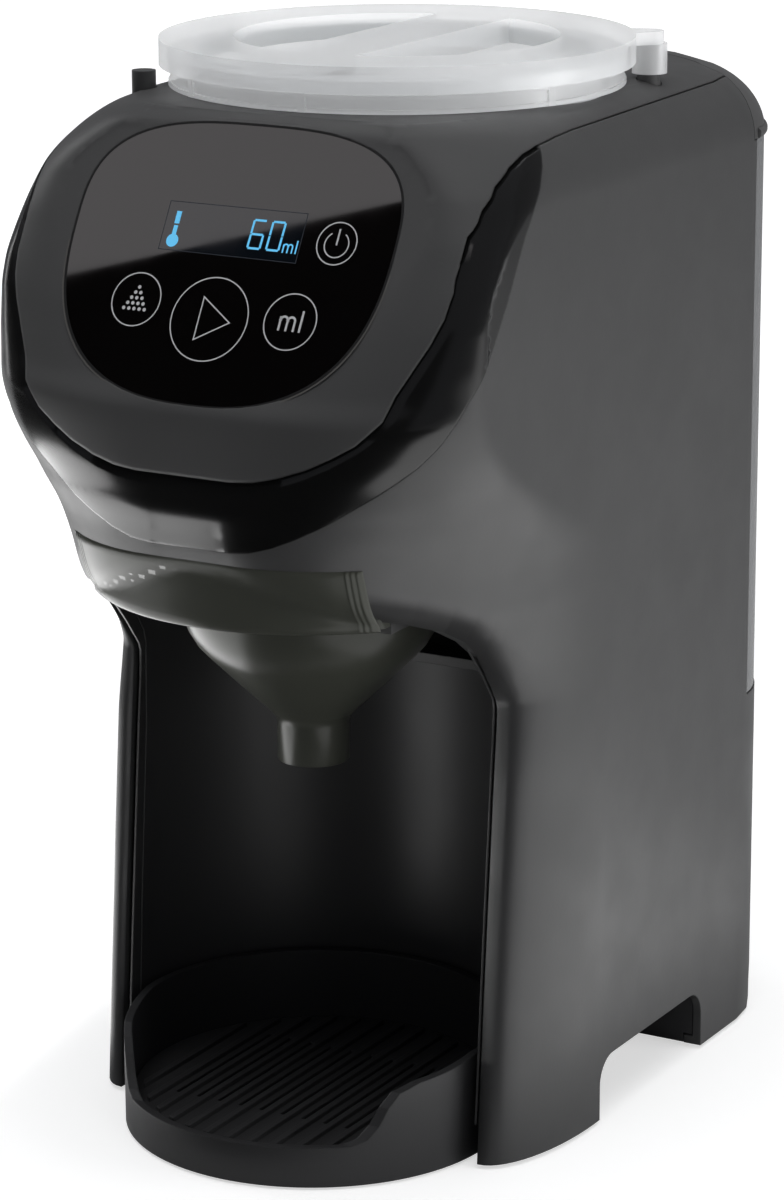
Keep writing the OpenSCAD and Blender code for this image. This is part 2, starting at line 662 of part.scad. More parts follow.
module drive_gear() color("#e6e6e2") pot_axis() translate([0, 0, gear_z]) difference() {
    union() {
        linear_extrude(gear_w) polygon(gear_outline(gear_teeth));
        translate([0, 0, gear_w - eps]) cylinder(r = dog_r, h = dog_top - gear_z - gear_w, $fn = 6);
    }
    translate([0, 0, -1]) cylinder(r = axle_r + run, h = gear_w + 1.6);
    // Openings between the spokes
    for (k = [0:5]) rotate([0, 0, 60 * k]) translate([18, 0, -1]) cylinder(r = 5.5, h = 9);
}

module main_board() color("#1d5b34") {
    box(board_x, board_x + 1.6, 18, 64, 60, 150);
    box(board_x - 12, board_x + eps, 28, 48, 70, 90);
    box(board_x - 6, board_x + eps, 48, 62, 100, 124);
    translate([board_x - 16, 36, 120]) rotate([0, 90, 0]) cylinder(r = 6, h = 16 + eps);
}
module inlet_place() translate([-22, back_y, 32]) children();
module inlet_block(d, h) translate([-13 - d, -18, -9 - d]) cube([26 + 2 * d, h, 18 + 2 * d]);
module power_inlet() color("#141414") inlet_place() difference() {
    inlet_block(0, 18);
    for (s = [-1, 1]) translate([s * 4.3, -14, 0]) rotate([-90, 0, 0]) tube(4.6, 3.2, 20);
    translate([-4.3, -14, 1.4]) cube([8.6, 20, 3.1]);
    translate([-4.3, -14, -4.5]) cube([8.6, 20, 3.1]);
}

// Posts at the right rear and the left front of the container, a for azimuth and h for height
module post_place(a) pot_axis() rotate([0, 0, 33.8 + 181 * a]) translate([collar_r + 6.8, 0, deck_z]) children();
module lock_post() color("#46484b") post_place(0) translate([0, 0, -3]) cylinder(r = post_r, h = 12.4);
module stop_post() color("#46484b") post_place(1) translate([0, 0, -3]) cylinder(r = post_r, h = 7.5);

module powder_container() color("#eef1f2", 0.8) pot_axis() difference() {
    union() {
        translate([0, 0, pot_floor_z]) cylinder(r = pot_r, h = collar_top - pot_floor_z);
        translate([0, 0, deck_z + gap]) cylinder(r = collar_r - 0.6, h = collar_top - deck_z - gap);
        translate([0, 0, deck_z + gap]) cylinder(r = collar_r, h = 1.2);
        translate([0, 0, deck_z + 4.6]) cylinder(r = collar_r, h = 0.8);
        // Grip ribs around the collar
        for (a = [-122, -84, -20, 58, 96]) rotate([0, 0, a])
            translate([collar_r - 2, -1.2, deck_z + gap]) cube([2.2, 2.4, 5.2]);
    }
    translate([0, 0, pot_floor_z + pot_wall]) cylinder(r = pot_r - pot_wall, h = 200);
    translate([0, 0, pot_floor_z - 1]) cylinder(r = hub_r + run, h = 9);
    translate([0, bay_y - pot_y, pot_floor_z - 1]) cylinder(r = outlet_r, h = 9);
}
module powder_scraper() color("#cfd3d4") pot_axis() translate([0, 0, wheel_top + gap]) rotate([0, 0, -115]) rotate_extrude(angle = 50)
    translate([38, 0]) square([pot_r - pot_wall - 0.2 - 38, 2.2]);
module dosing_wheel() color("#dfe3e4") pot_axis() difference() {
    union() {
        translate([0, 0, wheel_z]) cylinder(r = wheel_r, h = wheel_top - wheel_z);
        translate([0, 0, dog_top - 1.7]) cylinder(r = hub_r, h = wheel_z - dog_top + 2);
        translate([0, 0, wheel_top - eps]) cylinder(r = hub_r - 2, h = 12);
    }
    for (k = [0:pocket_count - 1]) rotate([0, 0, 360 * k / pocket_count - 90])
        translate([pot_y - bay_y, 0, wheel_z - 1]) cylinder(r = pocket_r, h = 20);
    translate([0, 0, dog_top - 3]) cylinder(r = dog_r + 0.4, h = 4.4, $fn = 6);
}
module stirrer() color("#cfd3d4") pot_axis() {
    translate([0, 0, wheel_top + 3]) tube(hub_r, 2 - run, 8);
    for (a = [20, 200]) rotate([0, 0, a]) {
        translate([hub_r - 1, -1.5, wheel_top + 4]) cube([44, 3, 3]);
        translate([hub_r + 41.5, 0, wheel_top + 4]) cylinder(r = 1.5, h = 34);
    }
}
module powder_lid() color("#f2f4f5", 0.8) pot_axis() difference() {
    union() {
        translate([0, 0, lid_under]) cylinder(r = lid_r, h = lid_top - lid_under);
        translate([0, 0, lid_under - 3.4]) tube(lid_r, lid_r - collar_r - gap, 3.4 + eps);
        translate([0, 0, well_z - 2]) cylinder(r = pot_r - pot_wall - gap - seal_t, h = lid_under - well_z + 2 + eps);
        // Lug over the locking post
        rotate([0, 0, 33.8]) hull() {
            translate([lid_r - 6, -6.5, lid_top - 3.6]) cube([1, 13, 3.6]);
            translate([collar_r + 6.8, 0, lid_top - 3.6]) cylinder(r = post_r + 0.8, h = 3.6);
        }
    }
    // Finger wells either side of the grip bar
    difference() {
        translate([0, 0, well_z]) cylinder(r = well_r, h = 30);
        box(-grip_w / 2, grip_w / 2, -90, 90, 0, 400);
    }
    // Hollow under the bar
    intersection() {
        translate([0, 0, well_z - 3]) cylinder(r = well_r - 2, h = lid_top - well_z + 1);
        box(2 - grip_w / 2, grip_w / 2 - 2, -90, 90, 0, 400);
    }
}
module lid_seal() color("#c9d2d6") pot_axis() translate([0, 0, lid_under - 4.5])
    tube(pot_r - pot_wall - run, seal_t + gap - 2 * run, 4.4);

// Plan of the tank wall moved in by d
module tank_plan(d) difference() {
    intersection() {
        back_plan(gap + d);
        union() {
            translate([-90, tank_seam_y + gap + d]) square([180, 90]);
            translate([wall + gap + d - half_w, lid_line + gap + d]) square([body_w - 2 * (wall + gap + d), 60]);
        }
    }
    pot_axis() circle(tank_front_r + d);
}
module water_tank() color("#c9d3d8", 0.55) difference() {
    translate([0, 0, tank_floor]) linear_extrude(tank_top - tank_floor) tank_plan(0);
    translate([0, 0, tank_floor + tank_wall]) linear_extrude(300) tank_plan(tank_wall);
    dock_place() cylinder(r = valve_r + gap, h = 150);
}
module lid_space(z0, d) intersection() {
    loft(concat([z0], [for (z = LEVELS) if (z > z0 + 0.5 && z < deck_z - d) z], d > 0 ? [deck_z - d] : [deck_z]), d);
    box(-90, 90, lid_line + gap + d, 140, z0 - 1, deck_z + 1);
    difference() {
        box(-90, 90, 0, 140, z0 - 2, deck_z + 2);
        translate([0, 0, z0 - 5]) pot_axis() cylinder(r = tank_front_r + d, h = 90);
    }
}
module tank_lid() color("#3b3d40") {
    difference() {
        lid_space(tank_top + gap, 0);
        lid_space(tank_top - 1, tank_wall);
    }
    // Rim that fits inside the tank
    translate([0, 0, tank_top - 4]) linear_extrude(4.6) difference() {
        tank_plan(tank_wall + gap);
        tank_plan(tank_wall + gap + 1.6);
    }
    // Web that joins the rim to the lid
    translate([0, 0, tank_top + gap]) linear_extrude(1.2) difference() {
        tank_plan(0.8);
        tank_plan(tank_wall + gap + 1.6);
    }
    // Finger lip at the back
    difference() {
        box(-26, 26, back_y - 3, back_reach, tank_top + gap, tank_top + 7);
        box(-90, 90, back_y - 4, back_y - 1.5, tank_top, tank_top + 4.8);
    }
}

module funnel_holder() color("#3a3b36") {
    difference() {
        union() {
            box(-plate_x, plate_x, bay_y, -16, plate_z, plate_z + plate_t);
            bay_axis() translate([0, 0, plate_z]) intersection() {
                cylinder(r = drawer_r - 1, h = plate_t);
                box(-plate_x, plate_x, -80, 0, -1, 9);
            }
        }
        bay_axis() translate([0, 0, plate_z - 1]) cylinder(r = funnel_r + 0.6, h = 9);
    }
    // Curved front with slanted ends and a rib at each end
    intersection() {
        bay_axis() difference() {
            union() {
                translate([0, 0, plate_z]) cylinder(r1 = drawer_r - 1.2, r2 = drawer_r, h = 3);
                translate([0, 0, plate_z + 3 - eps]) cylinder(r1 = drawer_r, r2 = drawer_r - 0.6, h = drawer_top - plate_z - 3);
            }
            translate([0, 0, plate_z - 1]) cylinder(r = drawer_r - 3, h = 40);
        }
        translate([0, bay_y, 0]) rotate([90, 0, 0]) linear_extrude(140) intersection() {
            mouth_view(0, plate_z - 1, drawer_top + 1);
            translate([-plate_x - 2.2, 0]) square([2 * plate_x + 4.4, 300]);
        }
    }
}
module mixing_funnel() color("#4a4b45") bay_axis() rotate_extrude() polygon([
    [spout_r, spout_z], [spout_r, cone_z], [funnel_r, bowl_z], [funnel_r, flange_z], [funnel_r + 4, flange_z],
    [funnel_r + 4, flange_z + 1.8], [funnel_r - funnel_wall, flange_z + 1.8], [funnel_r - funnel_wall, bowl_z + 0.7],
    [spout_r - funnel_wall, cone_z + 0.7], [spout_r - funnel_wall, spout_z]
]);

module drip_tray() color("#2b2c2e") difference() {
    bay_axis() difference() {
        union() {
            translate([0, 0, tray_foot]) cylinder(r = tray_r, h = tray_side_z - tray_foot);
        }
        translate([0, 0, tray_floor + tray_wall]) cylinder(r = tray_r - tray_wall - 2.4, h = 90);
        translate([0, 0, cover_z - gap]) cylinder(r = tray_r - tray_wall, h = 90);
        translate([0, 0, -1]) cylinder(r = floor_r + 1, h = tray_floor + 1);
        box(-floor_r - 1, floor_r + 1, 0, 90, -1, tray_floor);
    }
    across(TRAY_LINE);
}
module tray_cover() color("#1b1c1e") bay_axis() difference() {
    union() {
        translate([0, 0, cover_z]) cylinder(r = tray_r - tray_wall - 0.6, h = 2);
        intersection() {
            translate([0, 0, cover_z]) cylinder(r = tray_r - tray_wall - 3, h = 4);
            for (k = [-6:6]) box(k * rib_pitch - 1, k * rib_pitch + 1, -60, 60, cover_z + 1, cover_z + 3.2);
        }
    }
    for (k = [-5:5]) box((k + 0.5) * rib_pitch - 0.25, (k + 0.5) * rib_pitch + 1.75, -26, 26, cover_z - 1, cover_z + 9);
}

main_housing();
tank_cradle();
front_fascia();
trim_ring();
control_glass();
display_module();
control_board();
bay_liner();
base_plate();
rubber_feet();
base_screws();
water_dock();
dock_seal();
water_pump();
water_heater();
inlet_hose();
heater_hose();
nozzle_hose();
water_nozzle();
powder_chute();
chassis_plate();
gear_motor();
main_board();
power_inlet();
lock_post();
stop_post();
motor_pinion();
drive_gear();
powder_container();
powder_scraper();
dosing_wheel();
stirrer();
powder_lid();
lid_seal();
water_tank();
tank_valve();
tank_lid();
funnel_holder();
mixing_funnel();
drip_tray();
tray_cover();
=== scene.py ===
import json
import math

import bmesh
import bpy
from mathutils import Matrix, Vector


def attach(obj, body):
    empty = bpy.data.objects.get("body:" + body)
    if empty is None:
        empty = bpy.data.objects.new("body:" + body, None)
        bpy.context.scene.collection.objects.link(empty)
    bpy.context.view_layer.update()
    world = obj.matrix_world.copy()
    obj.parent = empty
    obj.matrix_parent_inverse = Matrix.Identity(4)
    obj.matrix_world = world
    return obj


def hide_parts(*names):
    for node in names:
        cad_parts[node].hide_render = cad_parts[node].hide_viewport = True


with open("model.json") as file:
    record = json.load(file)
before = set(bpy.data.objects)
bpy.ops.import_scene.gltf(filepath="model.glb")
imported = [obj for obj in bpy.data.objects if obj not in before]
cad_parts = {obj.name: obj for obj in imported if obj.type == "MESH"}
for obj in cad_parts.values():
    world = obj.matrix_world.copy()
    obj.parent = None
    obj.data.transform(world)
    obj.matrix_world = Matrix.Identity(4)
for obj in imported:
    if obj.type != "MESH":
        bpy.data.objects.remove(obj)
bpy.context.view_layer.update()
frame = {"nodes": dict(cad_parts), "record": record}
NODES = frame["nodes"]
scene = bpy.context.scene
MM = 0.001

# Sizes of the solids that the dressed pieces follow, in mm
PANEL_REACH, PANEL_Z = 101.3, 243.6
GLASS_HALF_W, GLASS_MID, GLASS_UP, GLASS_DOWN = 49.5, 24.2, 31, 48
BAY_Y, BAY_EDGE = -50.0, 59.5
HALF, SHOULDER, RUN_IN, DECK, REAR, CORNER = 75.0, 272.0, 20.0, 294.0, 115.5, 40.0

# Plane of the control panel: its slope, up the panel, out of it, and the start key's centre
TILT = math.radians(29.65)
PANEL_UP = Vector((0, math.sin(TILT), math.cos(TILT)))
PANEL_OUT = Vector((0, -math.cos(TILT), math.sin(TILT)))
PANEL_O = Vector((0, -PANEL_REACH, PANEL_Z)) * MM

# Camera, from points measured in the photograph
cam_data = bpy.data.cameras.new("camera")
cam_data.sensor_width = 36
cam_data.lens = 124.95
cam_data.clip_start, cam_data.clip_end = 0.05, 30
cam = bpy.data.objects.new("camera", cam_data)
right = Vector((0.86904, 0.49472, -0.00438))
up = Vector((-0.12696, 0.23156, 0.96450))
back = Vector((0.47817, -0.83764, 0.26404))
turn = Matrix((right, up, back)).transposed().to_4x4()
cam.matrix_world = Matrix.Translation(Vector((577.66, -1016.78, 462.72)) * MM) @ turn
scene.collection.objects.link(cam)
scene.camera = cam
scene.view_settings.view_transform = "Standard"


# ---------------------------------------------------------------- materials
class Nodes:
    """Small helper around one node tree."""

    def __init__(self, name):
        self.mat = bpy.data.materials.new(name)
        self.mat.use_nodes = True
        self.tree = self.mat.node_tree
        self.tree.nodes.clear()
        self.out = self.add("ShaderNodeOutputMaterial")

    def add(self, kind, inputs=None, **values):
        n = self.tree.nodes.new(kind)
        for k, v in values.items():
            setattr(n, k, v)
        for k, v in (inputs or {}).items():
            if isinstance(v, bpy.types.NodeSocket):
                self.tree.links.new(v, n.inputs[k])
            else:
                n.inputs[k].default_value = v
        return n

    def noise(self, scale, detail=3.0, squeeze=(1, 1, 1)):
        co = self.add("ShaderNodeNewGeometry").outputs["Position"]
        m = self.add("ShaderNodeMapping", {"Vector": co, "Scale": squeeze})
        ins = {"Vector": m.outputs[0], "Scale": scale, "Detail": detail}
        return self.add("ShaderNodeTexNoise", ins).outputs["Fac"]

    def spread(self, fac, low, high, start=0.2, end=0.8):
        """Smooth run from low to high while fac goes from start to end."""
        ins = {"Value": fac, 1: start, 2: end, 3: low, 4: high}
        return self.add("ShaderNodeMapRange", ins, interpolation_type="SMOOTHERSTEP").outputs[0]

    def tint(self, fac, a, b):
        n = self.add("ShaderNodeMix", data_type="RGBA")
        for s in n.inputs:
            if s.identifier == "Factor_Float":
                self.tree.links.new(fac, s)
            elif s.identifier == "A_Color":
                s.default_value = (*a, 1)
            elif s.identifier == "B_Color":
                s.default_value = (*b, 1)
        return next(o for o in n.outputs if o.identifier == "Result_Color")

    def bump(self, height, strength, distance=0.0002, normal=None):
        ins = {"Height": height, "Strength": strength, "Distance": distance}
        if normal is not None:
            ins["Normal"] = normal
        return self.add("ShaderNodeBump", ins).outputs[0]

    def end(self, shader):
        self.tree.links.new(shader.outputs[0], self.out.inputs[0])
        return self.mat


def moulded(name, colour, rough, grain=900, strength=0.12, vary=0.12, edge=0.0, gloss_vary=0.05, **sockets):
    """Moulded plastic or rubber: fine grain, slight drift of colour and sheen, softened edges."""
    n = Nodes(name)
    slow = n.noise(14, 2)
    fine = n.noise(grain, 2)
    a = tuple(c * (1 - vary) for c in colour)
    b = tuple(min(1, c * (1 + vary)) for c in colour)
    normal = n.add("ShaderNodeBevel", {"Radius": edge}, samples=4).outputs[0] if edge else None
    ins = {
        "Base Color": n.tint(slow, a, b),
        "Roughness": n.spread(n.noise(40, 3), rough - gloss_vary, rough + gloss_vary),
        "Normal": n.bump(fine, strength, 0.00015, normal),
    }
    ins.update(sockets)
    return n.end(n.add("ShaderNodeBsdfPrincipled", ins))


def metal(name, colour, rough, squeeze=(1, 1, 12)):
    n = Nodes(name)
    streak = n.noise(220, 4, squeeze=squeeze)
    ins = {
        "Base Color": n.tint(streak, tuple(c * 0.85 for c in colour), colour),
        "Metallic": 1.0,
        "Roughness": n.spread(streak, rough - 0.08, rough + 0.08),
        "Normal": n.bump(streak, 0.08),
    }
    return n.end(n.add("ShaderNodeBsdfPrincipled", ins))


def clear_plastic(name, colour, rough, transmission, vary=0.05, ior=1.46, **sockets):
    n = Nodes(name)
    cloud = n.noise(30, 3)
    ins = {
        "Base Color": n.tint(cloud, tuple(c * (1 - vary) for c in colour), colour),
        "Roughness": rough,
        "Transmission Weight": transmission,
        "IOR": ior,
    }
    ins.update(sockets)
    return n.end(n.add("ShaderNodeBsdfPrincipled", ins))


MAT = {
    "body_satin": moulded("body_satin", (0.050, 0.050, 0.0505), 0.44, edge=0.0006),
    "fascia_satin": moulded("fascia_satin", (0.053, 0.053, 0.0535), 0.44, edge=0.0006),
    "ring_gloss": moulded(
        "ring_gloss", (0.006, 0.006, 0.006), 0.18, strength=0.015, gloss_vary=0.02, edge=0.0006),
    "bay_gloss": moulded(
        "bay_gloss", (0.032, 0.032, 0.0325), 0.42, strength=0.03, gloss_vary=0.02, edge=0.0005),
    "base_satin": moulded("base_satin", (0.03, 0.03, 0.032), 0.5),
    "rubber_black": moulded("rubber_black", (0.012, 0.012, 0.012), 0.8, grain=1500, strength=0.2),
    "motor_grey": moulded("motor_grey", (0.16, 0.17, 0.18), 0.45),
    "inner_white": moulded("inner_white", (0.70, 0.72, 0.72), 0.45),
    "chassis_grey": moulded("chassis_grey", (0.07, 0.075, 0.08), 0.5),
    "inlet_black": moulded("inlet_black", (0.012, 0.012, 0.012), 0.45, edge=0.0003),
    "seal_grey": moulded("seal_grey", (0.5, 0.53, 0.54), 0.6),
    "lid_satin": moulded("lid_satin", (0.062, 0.062, 0.0625), 0.46, edge=0.0006),
    "tray_satin": moulded("tray_satin", (0.026, 0.026, 0.027), 0.40, edge=0.0006),
    "screw_steel": metal("screw_steel", (0.6, 0.6, 0.61), 0.32),
    "heater_metal": metal("heater_metal", (0.55, 0.56, 0.57), 0.35),
    "brass_gear": metal("brass_gear", (0.72, 0.52, 0.2), 0.3),
    "hose_clear": clear_plastic("hose_clear", (0.8, 0.84, 0.86), 0.35, 0.6),
    # The frosted plastic also glows faintly (emission 0.08): painted light that brightens these parts, which
    # are no lamps.
    "frosted": clear_plastic(
        "frosted", (0.95, 0.96, 0.97), 0.28, 0.5, vary=0.03,
        **{"Alpha": 0.54, "Emission Color": (1, 1, 1, 1), "Emission Strength": 0.08}),
    "tank_clear": clear_plastic("tank_clear", (0.20, 0.205, 0.21), 0.25, 0.15),
    "smoked": clear_plastic(
        "smoked", (0.062, 0.065, 0.053), 0.28, 0.08, vary=0.1, **{"Specular IOR Level": 0.22}),
}


def board_material():
    n = Nodes("circuit_board")
    place = n.add("ShaderNodeNewGeometry").outputs["Position"]
    cells = n.add("ShaderNodeTexVoronoi", {"Vector": place, "Scale": 260.0}, distance="MANHATTAN")
    brick = cells.outputs["Distance"]
    ins = {
        "Base Color": n.tint(n.spread(brick, 0, 1, 0.25, 0.3), (0.01, 0.07, 0.03), (0.02, 0.16, 0.07)),
        "Roughness": n.spread(brick, 0.3, 0.5),
        "Normal": n.bump(brick, 0.2),
    }
    return n.end(n.add("ShaderNodeBsdfPrincipled", ins))


def glass_material():
    n = Nodes("panel_glass")
    ins = {
        "Base Color": n.tint(n.noise(20, 2), (0.0015, 0.0012, 0.0012), (0.003, 0.0025, 0.0025)),
        "Roughness": n.spread(n.noise(50, 2), 0.015, 0.03),
        "IOR": 1.5,
        "Normal": n.bump(n.noise(12, 1), 0.004),
    }
    return n.end(n.add("ShaderNodeBsdfPrincipled", ins))


# Flat colour with a fine speck, for print on the glass, the lit display, and the painted shade and painted
# highlight round the glass.
def print_and_painted_light(name, colour, glow=0.0):
    n = Nodes(name)
    speck = n.noise(1400, 2)
    col = n.tint(speck, tuple(c * 0.85 for c in colour), colour)
    ins = {"Base Color": col, "Roughness": n.spread(speck, 0.35, 0.5), "Emission Strength": glow}
    if glow:
        ins["Emission Color"] = col
    return n.end(n.add("ShaderNodeBsdfPrincipled", ins))


MAT["circuit_board"] = board_material()
MAT["panel_glass"] = glass_material()
MAT["display"] = moulded("display", (0.003, 0.0045, 0.007), 0.03, strength=0.0, gloss_vary=0.01)
INK = print_and_painted_light("icon_ink", (0.50, 0.50, 0.51), 0.08)
LIT = print_and_painted_light("display_lit", (0.09, 0.38, 0.62), 0.80)
FRAME_INK = print_and_painted_light("window_edge", (0.02, 0.025, 0.035))
# Black for the line round the glass: painted shade of the gap between the glass and the fascia.
GAP_SHADE = print_and_painted_light("glass_gap_painted_shade", (0.004, 0.004, 0.004))
# Lighter grey for a strip round the lower half of the glass: a painted highlight of the light caught by a
# chamfer there.
RIM_HIGHLIGHT = print_and_painted_light("painted_rim_highlight_grey", (0.075, 0.072, 0.068))

slots = {s["node"]: s["material_slot"] for s in frame["record"]["subparts"]}
for node, obj in NODES.items():
    mat = MAT[slots[node]]
    obj.data.materials.clear()
    obj.data.materials.append(mat)


# ---------------------------------------------------------------- smooth shells
def panel_y(z):
    return -PANEL_REACH + (z - PANEL_Z) * math.tan(TILT)


# Stations of the shell: height, half width of the flat front, start of the corner, front
NOSE = [
    (1.2, 60, -20, -62.5), (60, 60, -17, -57.5), (110, 60, -13.5, -53), (132, 58, -10, -51.2),
    (140, 52.7, -8.4, -58),
    (148, 45.9, -7, -69.1), (156, 37.8, -6.4, -83), (164, 30, -8, -97.6), (172, 20.6, -14, -107.2),
    (180, 13.3, -26, -112.4), (188, 10.3, -41, -114.6), (196, 10.6, -56, -116.3), (204, 14.5, -69.4, -116.3),
    (212, 18.4, -78.9, -115.7), (220, 22, -83.7, panel_y(220) + 0.1), (228, 26, -85.6, panel_y(228)),
    (236, 33, -86.4, panel_y(236)), (244, 41, -86.4, panel_y(244)), (252, 48, -84.4, panel_y(252)),
    (260, 54, -78.5, panel_y(260)), (268, 58, -69, panel_y(268)), (276, 57.3, -56, panel_y(276)),
    (282, 53.1, -45.3, panel_y(282)), (288, 45.4, -34, panel_y(288)), (291, 40.3, -27.5, panel_y(291)),
    (294, 35, -21, panel_y(291) + 6),
]


def monotone(z, k):
    """Column k of the stations at height z, on a curve that never overshoots them."""
    i = max([n for n in range(len(NOSE) - 1) if NOSE[n][0] <= z] or [0])

    def rise(n):
        return (NOSE[n + 1][k] - NOSE[n][k]) / (NOSE[n + 1][0] - NOSE[n][0])

    def slope(n):
        if n == 0 or n == len(NOSE) - 1:
            return rise(min(n, len(NOSE) - 2))
        a, b = rise(n - 1), rise(n)
        return 0 if a * b <= 0 else 2 * a * b / (a + b)

    h = NOSE[i + 1][0] - NOSE[i][0]
    t = min(1, max(0, (z - NOSE[i][0]) / h))
    return ((1 + 2 * t) * (1 - t) ** 2 * NOSE[i][k] + t * (1 - t) ** 2 * h * slope(i)
            + t * t * (3 - 2 * t) * NOSE[i + 1][k] - t * t * (1 - t) * h * slope(i + 1))


STATIONS = [[monotone(n / 4, k) for k in (1, 2, 3)] for n in range(int(DECK * 4) + 2)]


def station(z):
    q = min(max(z, 0), DECK) * 4
    n = int(q)
    q -= n
    return [a + (b - a) * q for a, b in zip(STATIONS[n], STATIONS[n + 1])]


def come_in(z):
    q = min(1, max(0, (z - SHOULDER) / (DECK - SHOULDER)))
    return RUN_IN * (1 - math.sqrt(max(0, 1 - q * q)))


def depth(x, y, z):
    """About zero on the shell's surface and more outside it."""
    x, a = abs(x), HALF - come_in(z)
    xc, y0, yf = station(z)
    rear = REAR - come_in(z)
    if y < y0:
        if x <= xc:
            return yf - y
        return (math.hypot((x - xc) / (a - xc), (y0 - y) / (y0 - yf)) - 1) * min(a - xc, y0 - yf)
    cx, cy = a - CORNER, rear - CORNER
    if y > cy and x > cx:
        return math.hypot(x - cx, y - cy) - CORNER
    return max(x - a, y - rear)


def gradient(p):
    x, y, z = p
    e = 0.4
    return Vector((depth(x + e, y, z) - depth(x - e, y, z), depth(x, y + e, z) - depth(x, y - e, z),
                   depth(x, y, min(z + e, DECK)) - depth(x, y, z - e))) / (2 * e)


def shell_normal(co):
    p = co / MM
    if p.z > DECK - 0.02:
        return Vector((0, 0, 1))
    g = gradient(p)
    return g.normalized() if g.length > 1e-9 else None


def settle(v, off):
    """Move a vertex onto the curved surface that its facet stands for."""
    for _ in range(3):
        p = v.co / MM
        if p.z > DECK - 3 or p.z < NOSE[0][0] + 0.3:
            return
        d = depth(*p) - off
        if abs(d) > 1.2 or abs(d) < 0.004:
            return
        g = gradient(p)
        if g.length < 0.2:
            return
        step = g * (d / g.length_squared)
        v.co -= Vector((step.x, step.y, 0 if g.z ** 2 < 0.02 else step.z)) * MM


def outer_faces(bm, off):
    out = []
    for f in bm.faces:
        c = f.calc_center_median()
        n = shell_normal(c)
        if n is None or n.dot(f.normal) < 0.8:
            continue
        if all(abs(depth(*(v.co / MM)) - off) < 0.9 for v in f.verts):
            out.append(f)
    return out


# Lower edge of the cheeks seen from the side, as y and z
CHEEK = [
    (-140, 171.5), (-97, 166), (-86, 163.2), (-76, 159.3), (-68.5, 154.8), (-62, 149.3), (-58, 145.2),
    (-50, 136),
]
BEHIND_BAY = -30
FAR = 99


def from_bay(co):
    """Distance from the edge of the bottle bay, and the direction away from it."""
    x, y, z = co / MM
    side = abs(x) - BAY_EDGE
    k = max([n for n in range(len(CHEEK) - 1) if CHEEK[n][0] <= y] or [0])
    (ya, za), (yb, zb) = CHEEK[k], CHEEK[k + 1]
    slope = (zb - za) / (yb - ya)
    above = (z - za - (y - ya) * slope) / math.hypot(1, slope)
    out_side, out_above = Vector((math.copysign(1, x), 0, 0)), Vector((0, -slope, 1)).normalized()
    if y > BEHIND_BAY:
        return FAR, out_side
    blend = min(1, max(0, 0.5 + (side - above) / 8))
    return max(side, above), (out_side * blend + out_above * (1 - blend)).normalized()


def softened(co, n, reach=9.0, roll=math.radians(64)):
    """The shell's normal, rolled over towards the bay near its edge."""
    t, away = from_bay(co)
    if t >= reach:
        return n
    phi = roll * (1 - max(0, t) / reach) ** 1.3
    flat = away - n * away.dot(n)
    if flat.length < 1e-6:
        return n
    return (n * math.cos(phi) - flat.normalized() * math.sin(phi)).normalized()


# The lower half of the glass: power of its outline, and where the change of shape ends round it
SQUARENESS, WARP_END, WARP_FADE, WARP_HEIGHT = 2.5, 1.24, 0.2, 9


def glass_warp(co):
    """The lower half of the glass is squarer than the ellipse that the solid has."""
    p = Vector((co.x / MM, co.y / MM + PANEL_REACH, co.z / MM - PANEL_Z))
    u, v, h = p.x / GLASS_HALF_W, (GLASS_MID - p.dot(PANEL_UP)) / GLASS_DOWN, p.dot(PANEL_OUT)
    level = math.hypot(u, v)
    if v <= 0 or abs(h) > WARP_HEIGHT or level > WARP_END or level < 0.01:
        return co
    fade = min(1, max(0, (WARP_END - level) / WARP_FADE))
    fade = fade * fade * (3 - 2 * fade)
    f = ((abs(u) / level) ** SQUARENESS + (v / level) ** SQUARENESS) ** (-1 / SQUARENESS) - 1
    move = (Vector((1, 0, 0)) * p.x - PANEL_UP * v * GLASS_DOWN) * f * fade
    return co + move * MM


def refine(bm, off, span, sit=None, warp=False, soft=False):
    """Finer facets on the outer surface, laid on the analytic curve."""
    for length in (3 * span, 1.7 * span, span) + ((0.6 * span, 0.4 * span) if soft else ()):
        faces = outer_faces(bm, off)
        if length < span:
            faces = [f for f in faces if from_bay(f.calc_center_median())[0] < 11]
        long_edges = {e for f in faces for e in f.edges if e.calc_length() > length * MM}
        bmesh.ops.subdivide_edges(bm, edges=list(long_edges), cuts=1, use_grid_fill=True)
        bmesh.ops.triangulate(bm, faces=[f for f in bm.faces if len(f.verts) > 3])
        bm.normal_update()
        for v in {v for f in outer_faces(bm, off) for v in f.verts}:
            settle(v, off)
        bm.normal_update()
    bm.faces.index_update()
    faces = outer_faces(bm, off)
    if warp:
        for v in bm.verts:
            v.co = glass_warp(v.co)
    for v in {v for f in faces for v in f.verts}:
        settle(v, off if sit is None else sit)
    return {f.index for f in faces}


